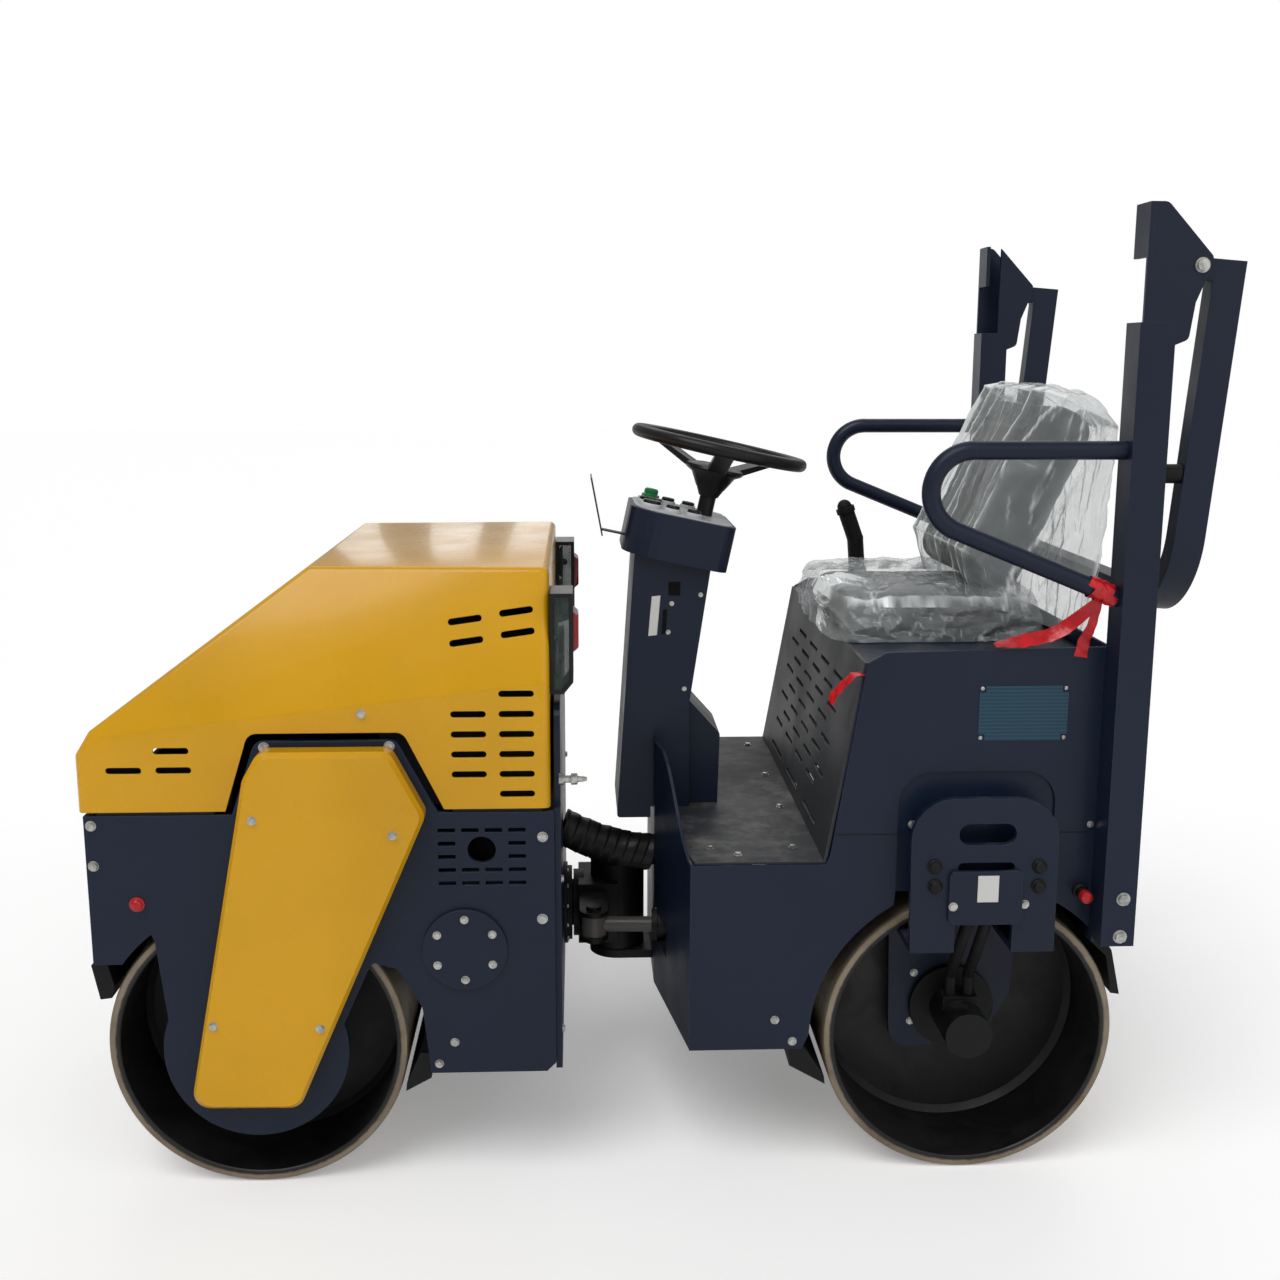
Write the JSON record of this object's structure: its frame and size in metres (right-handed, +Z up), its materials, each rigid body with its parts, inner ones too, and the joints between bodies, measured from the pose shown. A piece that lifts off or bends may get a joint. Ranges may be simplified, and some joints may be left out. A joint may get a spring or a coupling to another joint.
{
  "type": "ride-on tandem road roller",
  "caption": "Compact ride-on tandem road roller with articulated frame, smooth drums, tipping hood, open driver's seat and folded roll bar.",
  "frame": {"origin": "on the ground under the middle of the overall length and width", "axes": "+X forward along the machine, +Y to its left, +Z up"},
  "size_m": [2.0564, 1.064, 1.816],
  "materials": {
    "yellow_paint": "gloss paint on sheet steel, slightly dusty",
    "blue_grey_paint": "satin paint on steel plate",
    "black_casting": "black paint on castings and weldments",
    "drum_steel": "worn rolled steel with brown rust film",
    "floor_sheet": "matt grey wear on painted sheet",
    "silver_panel": "brushed instrument plate",
    "black_plastic": "moulded black plastic",
    "black_vinyl": "soft vinyl seat cover",
    "rubber": "matt black rubber",
    "chrome_rod": "ground and plated rod",
    "clear_lens": "clear moulded lens",
    "engine_iron": "dark engine block"
  },
  "bodies": {
    "rear_unit": {"rear_side_panels": "blue_grey_paint", "front_bulkhead": "blue_grey_paint", "floor_plate": "floor_sheet", "seat_box_front": "blue_grey_paint", "seat_deck": "blue_grey_paint", "rear_panel": "blue_grey_paint", "console_column": "blue_grey_paint", "knee_cover": "blue_grey_paint", "console_head": "blue_grey_paint", "console_panel": "silver_panel", "console_visor": "black_plastic", "steering_column": "black_plastic", "seat_base": "black_casting", "seat_cushion": "black_vinyl", "seat_back": "black_vinyl", "armrests": "blue_grey_paint", "rops_posts": "blue_grey_paint", "rops_bumpers": "rubber", "drum_hangers": "blue_grey_paint", "hanger_covers": "blue_grey_paint", "rear_drum_motor": "black_casting", "motor_hoses": "rubber", "rear_scrapers": "black_casting", "drive_lever": "rubber", "joint_bracket": "black_casting"},
    "steering_wheel": {"steering_wheel": "black_plastic"},
    "rops_hoop": {"rops_hoop": "blue_grey_paint"},
    "rear_drum": {"rear_drum": "drum_steel"},
    "yoke": {"yoke": "black_casting", "hose_bundle": "rubber"},
    "steer_barrel": {"steer_barrel": "black_casting"},
    "steer_rod": {"steer_rod": "chrome_rod"},
    "front_unit": {"front_side_plates": "blue_grey_paint", "front_frame": "blue_grey_paint", "engine_block": "engine_iron", "osc_bearing": "black_casting", "leg_covers": "yellow_paint", "side_covers": "blue_grey_paint", "front_scrapers": "black_casting", "front_hubs": "black_casting", "hood_seals": "rubber"},
    "hood": {"hood": "yellow_paint", "lamp_housings": "black_plastic", "lamp_lenses": "clear_lens"},
    "front_drum": {"front_drum": "drum_steel"}
  },
  "joints": [
    {"name": "steer", "type": "hinge", "parent": "rear_unit", "child": "yoke", "pos_m": [0.03767, 0, 0.39], "axis": [0, 0, 1], "range_deg": [-25, 25], "deforming": ["hose_bundle"]},
    {"name": "swing", "type": "hinge", "parent": "yoke", "child": "front_unit", "pos_m": [0.14567, 0, 0.385], "axis": [1, 0, 0], "range_deg": [-6, 6]},
    {"name": "front_drum_roll", "type": "hinge", "parent": "front_unit", "child": "front_drum", "pos_m": [0.72567, 0, 0.28], "axis": [0, 1, 0], "continuous": true},
    {"name": "hood_tip", "type": "hinge", "parent": "front_unit", "child": "hood", "pos_m": [1.02567, 0, 0.742], "axis": [0, 1, 0], "range_deg": [0, 60]},
    {"name": "rear_drum_roll", "type": "hinge", "parent": "rear_unit", "child": "rear_drum", "pos_m": [-0.62433, 0, 0.28], "axis": [0, 1, 0], "continuous": true},
    {"name": "steering_wheel_turn", "type": "hinge", "parent": "rear_unit", "child": "steering_wheel", "pos_m": [-0.17533, 0, 1.375], "axis": [-0.2147, 0, 0.9767], "continuous": true},
    {"name": "rops_fold", "type": "hinge", "parent": "rear_unit", "child": "rops_hoop", "pos_m": [-0.94233, 0, 1.712], "axis": [0, 1, 0], "range_deg": [0, 184.5]},
    {"name": "ram_swing", "type": "hinge", "parent": "rear_unit", "child": "steer_barrel", "pos_m": [-0.29433, 0.185, 0.4], "axis": [0, 0, 1], "range_deg": [-3, 3]},
    {"name": "ram_stroke", "type": "slide", "parent": "steer_barrel", "child": "steer_rod", "axis": [0.9987, -0.0519, 0], "range_m": [-0.0725, 0.0725]}
  ],
  "couplings": [
    {"joint": "ram_swing", "follows": "steer", "ratio": 0.10494},
    {"joint": "ram_stroke", "follows": "steer", "m_per_rad": -0.16523}
  ]
}
